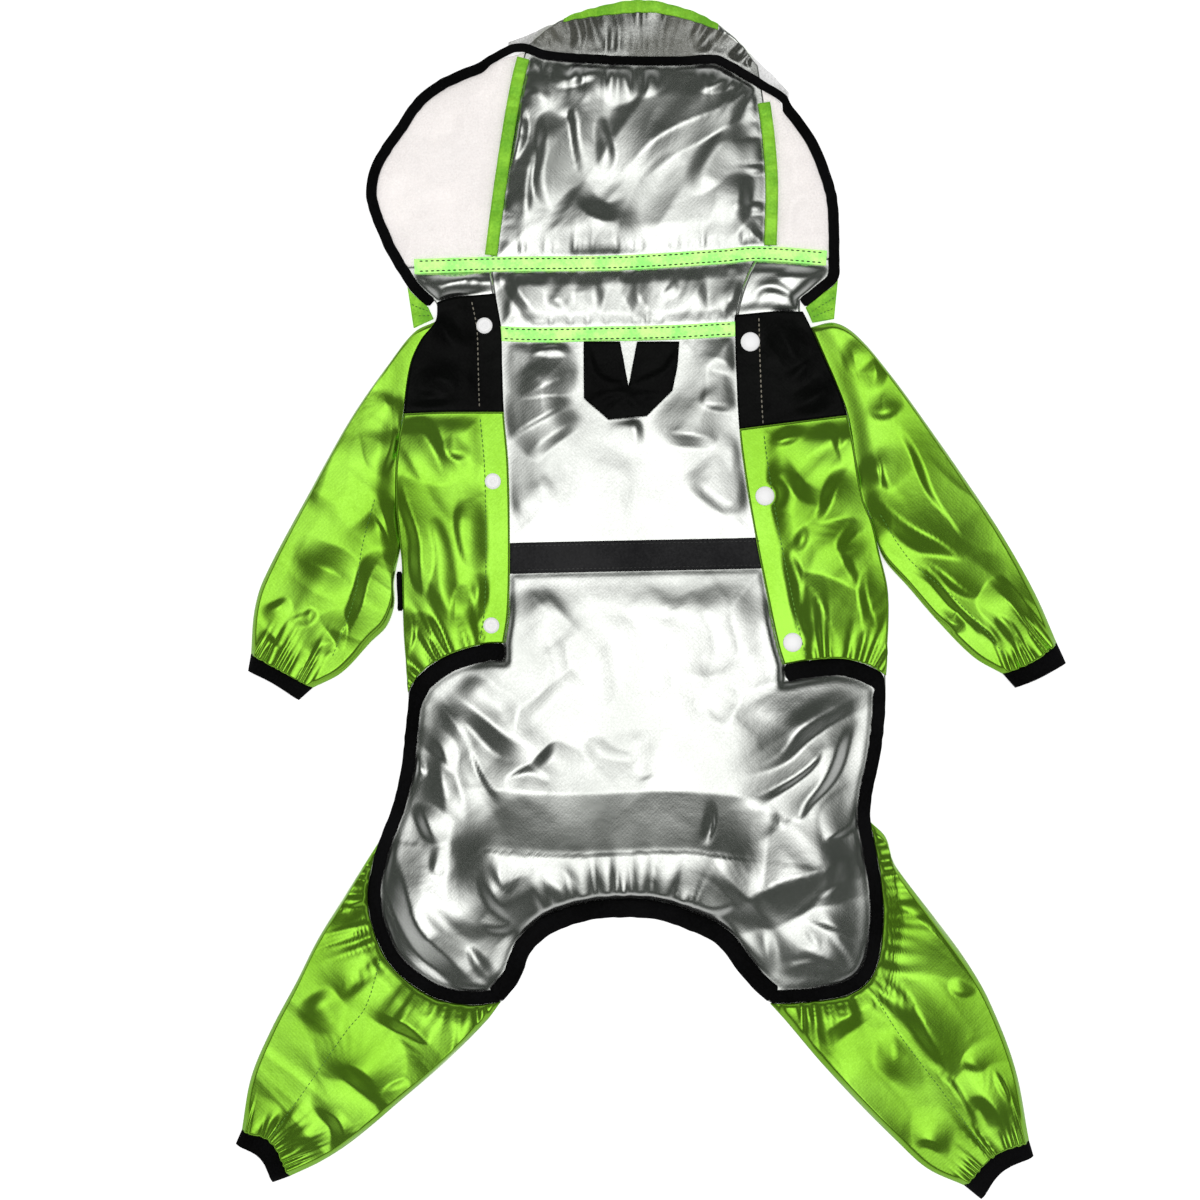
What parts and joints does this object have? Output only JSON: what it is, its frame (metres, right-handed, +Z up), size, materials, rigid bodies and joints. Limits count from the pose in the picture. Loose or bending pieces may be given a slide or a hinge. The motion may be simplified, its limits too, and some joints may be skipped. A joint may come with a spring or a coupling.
{
  "type": "dog rain suit",
  "caption": "Hooded four-legged dog rain suit laid flat on its back and open: silver-lined green cloth, black yokes and elastic bindings, clear hood windows, white snaps",
  "frame": {"origin": "middle of the garment's bounding box, on the surface it lies on", "axes": "+X across the garment, to the right as it is seen from above, +Y from the tail to the hood, +Z up from the surface"},
  "size_m": [0.5386, 0.7772, 0.0056],
  "materials": {
    "green_taffeta": "lime green coated taffeta with a satin sheen",
    "silver_lining": "silver-coated inside of the taffeta, with a metallic sheen",
    "black_elastic": "matte black folded elastic binding and tape",
    "black_nylon": "slightly glossy black nylon",
    "fluorescent_tape": "fluorescent green stitched tape",
    "clear_vinyl": "clear soft vinyl, slightly wrinkled",
    "white_plastic": "white plastic snaps"
  },
  "bodies": {
    "root": {"back_upper": "silver_lining", "back_lower": "silver_lining", "hood_crown": "silver_lining", "hood_band": "silver_lining", "hood_band_l": "silver_lining", "hood_band_r": "silver_lining", "belly_l": "green_taffeta", "belly_r": "green_taffeta", "sleeve_l": "green_taffeta", "sleeve_r": "green_taffeta", "leg_l": "green_taffeta", "leg_r": "green_taffeta", "hood_crest": "green_taffeta", "neck_fold_l": "green_taffeta", "neck_fold_r": "green_taffeta", "seam_tape_l": "green_taffeta", "seam_tape_r": "green_taffeta", "hood_tape": "fluorescent_tape", "neck_tape": "fluorescent_tape", "belly_yoke_l": "black_nylon", "belly_yoke_r": "black_nylon", "window_l": "clear_vinyl", "window_r": "clear_vinyl", "brim_top": "clear_vinyl", "waist_band": "black_elastic", "hang_loop": "black_nylon", "side_tab": "black_elastic", "hem_binding_l": "black_elastic", "hem_binding_r": "black_elastic", "side_binding_l": "black_elastic", "side_binding_r": "black_elastic", "leg_binding_l": "black_elastic", "leg_binding_r": "black_elastic", "tail_binding": "black_elastic", "rim_binding_l": "black_elastic", "rim_binding_top": "black_elastic", "rim_binding_r": "black_elastic", "sleeve_cuff_l": "black_elastic", "sleeve_cuff_r": "black_elastic", "leg_cuff_l": "black_elastic", "leg_cuff_r": "black_elastic", "snap_l_top": "white_plastic", "snap_l_mid": "white_plastic", "snap_l_low": "white_plastic", "snap_r_top": "white_plastic", "snap_r_mid": "white_plastic", "snap_r_low": "white_plastic"}
  },
  "joints": []
}
